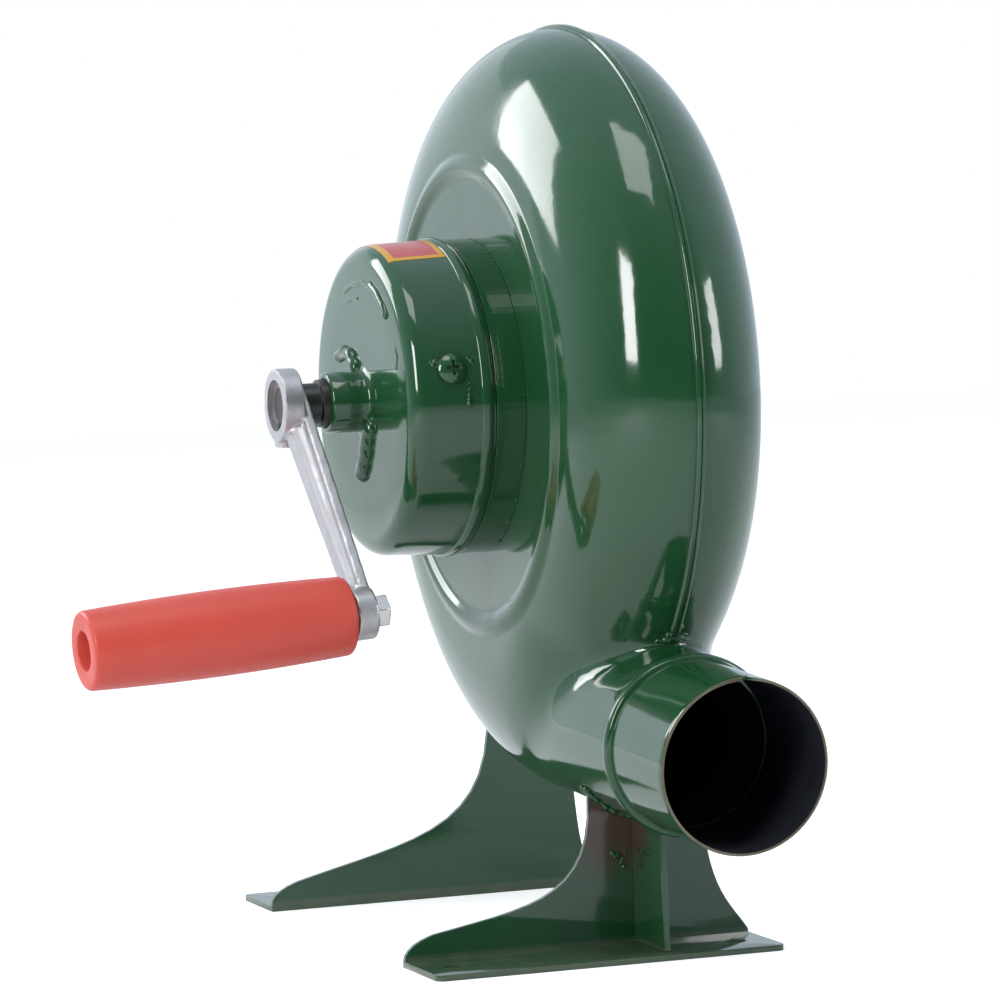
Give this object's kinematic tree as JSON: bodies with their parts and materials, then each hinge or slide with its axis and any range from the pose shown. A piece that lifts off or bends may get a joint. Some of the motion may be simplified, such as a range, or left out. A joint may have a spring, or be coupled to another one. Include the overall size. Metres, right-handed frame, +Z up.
{
  "type": "hand crank forge blower",
  "caption": "Hand cranked centrifugal forge blower: spiral sheet steel housing on two feet, step-up gearbox, crank with turning grip and a round outlet.",
  "frame": {"origin": "middle of the four foot bolt holes, on the base plane under the feet", "axes": "+X towards the outlet, -Y towards the crank, +Z up"},
  "size_m": [0.2741, 0.2285, 0.3061],
  "materials": {
    "green_enamel": "thick gloss enamel",
    "bright_zinc": "zinc plated",
    "gear_steel": "oiled cut steel",
    "black_oxide": "black oxide",
    "cast_alloy": "as cast, tumbled",
    "bronze": "sintered bronze",
    "red_plastic": "moulded, satin gloss",
    "label_film": "printed film"
  },
  "bodies": {
    "housing": {"volute_front_shell": "green_enamel", "volute_rear_shell": "green_enamel", "outlet_sleeve": "green_enamel", "right_foot": "green_enamel", "left_foot": "green_enamel", "foot_gusset": "green_enamel", "gearbox_base": "green_enamel", "gearbox_cover": "green_enamel", "cover_screws": "bright_zinc", "cover_label": "label_film", "crank_boss": "green_enamel", "crank_bush": "bronze", "bearing_housing": "cast_alloy", "housing_screws": "bright_zinc", "bearing_outer_rings": "gear_steel", "idler_post": "gear_steel", "idler_clip": "bright_zinc", "inlet_guard": "green_enamel", "guard_rivets": "bright_zinc"},
    "crank": {"ring_gear": "gear_steel", "crank_shaft": "gear_steel", "shaft_collar": "black_oxide", "crank_arm": "cast_alloy", "crank_set_screw": "black_oxide", "handle_bolt": "bright_zinc", "handle_washer": "bright_zinc", "handle_nut": "bright_zinc"},
    "grip": {"handle_grip": "red_plastic"},
    "idler": {"idler_gear": "gear_steel", "idler_pinion": "gear_steel"},
    "fan": {"fan_pinion": "gear_steel", "fan_shaft": "gear_steel", "bearing_inner_rings": "gear_steel", "bearing_balls": "gear_steel", "impeller": "cast_alloy", "impeller_washer": "bright_zinc", "impeller_nut": "bright_zinc"}
  },
  "joints": [
    {"name": "crank_turn", "type": "hinge", "parent": "housing", "child": "crank", "pos_m": [0.0095, -0.063, 0.182], "axis": [0, -1, 0], "continuous": true},
    {"name": "grip_turn", "type": "hinge", "parent": "crank", "child": "grip", "pos_m": [0.06226, -0.06783, 0.11567], "axis": [0.0478, -0.9971, -0.06], "continuous": true},
    {"name": "idler_turn", "type": "hinge", "parent": "housing", "child": "idler", "pos_m": [0.0095, -0.028, 0.2084], "axis": [0, -1, 0], "continuous": true},
    {"name": "fan_turn", "type": "hinge", "parent": "housing", "child": "fan", "pos_m": [0.0095, 0.007, 0.182], "axis": [0, -1, 0], "continuous": true}
  ],
  "couplings": [
    {"joint": "idler_turn", "follows": "crank_turn", "ratio": 6.0769},
    {"joint": "fan_turn", "follows": "crank_turn", "ratio": -24.775}
  ]
}
